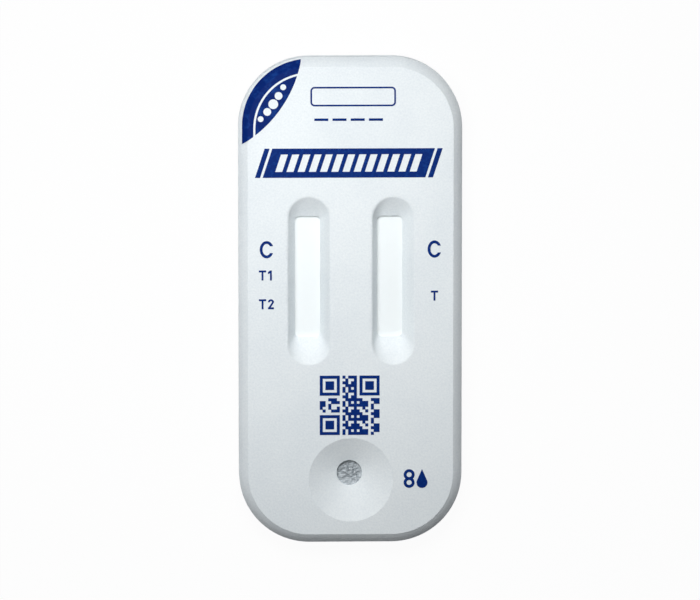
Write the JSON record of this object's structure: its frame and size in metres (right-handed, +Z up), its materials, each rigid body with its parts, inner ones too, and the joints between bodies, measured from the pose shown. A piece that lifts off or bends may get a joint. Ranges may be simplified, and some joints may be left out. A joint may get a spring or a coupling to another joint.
{
  "type": "lateral flow cassette",
  "caption": "Flat rounded plastic test cassette with two strip windows and one dished sample well, holding paired lateral flow strips.",
  "frame": {"origin": "middle of the flat underside", "axes": "+Z up out of the printed face, +Y along the cassette from the sample well to the absorbent pads, +X to the right of that"},
  "size_m": [0.032, 0.07, 0.005],
  "materials": {
    "housing_plastic": "fine spark-eroded matt white polystyrene",
    "backing_card": "smooth white card with adhesive",
    "membrane": "matt white nitrocellulose",
    "conjugate_pad": "glass fibre fleece with dried conjugate",
    "absorbent_pad": "thick cotton linter felt",
    "sample_pad": "crumpled grey glass fibre fleece",
    "ink": "pad-printed navy ink"
  },
  "bodies": {
    "root": {"top_cover": "housing_plastic", "base_tray": "housing_plastic", "backing_card_left": "backing_card", "backing_card_right": "backing_card", "membrane_left": "membrane", "membrane_right": "membrane", "conjugate_pad_left": "conjugate_pad", "conjugate_pad_right": "conjugate_pad", "absorbent_pad_left": "absorbent_pad", "absorbent_pad_right": "absorbent_pad", "sample_pad": "sample_pad", "print_corner_field": "ink", "print_title_band": "ink", "print_write_on_field": "ink", "print_left_marks": "ink", "print_right_marks": "ink", "print_code_panel": "ink", "print_drop_mark": "ink"}
  },
  "joints": []
}
